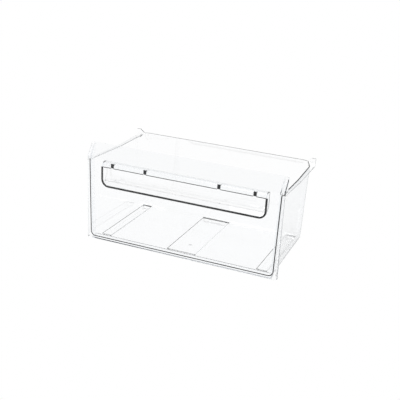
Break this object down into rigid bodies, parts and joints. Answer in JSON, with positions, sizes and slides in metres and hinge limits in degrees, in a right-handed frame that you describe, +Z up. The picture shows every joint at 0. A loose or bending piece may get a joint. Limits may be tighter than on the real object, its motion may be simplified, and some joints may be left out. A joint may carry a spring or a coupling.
{
  "type": "freezer drawer",
  "caption": "Clear plastic freezer drawer: open tub with sunken runners, front panel with a leaning top band and a wide finger grip with its own pocket.",
  "frame": {"origin": "middle of the drawer's overall width and depth, in the plane of the runners' soles that it stands on", "axes": "+X to the right when looking at the front panel, +Y from the front panel towards the rear wall, +Z up"},
  "size_m": [0.46, 0.246, 0.2252],
  "materials": {
    "tub_plastic": "clear moulded polystyrene, glossy",
    "panel_plastic": "clear moulded polystyrene, glossy",
    "pocket_plastic": "clear moulded polystyrene, glossy"
  },
  "bodies": {
    "root": {"drawer_tub": "tub_plastic", "front_panel": "panel_plastic", "grip_pocket": "pocket_plastic"}
  },
  "joints": []
}
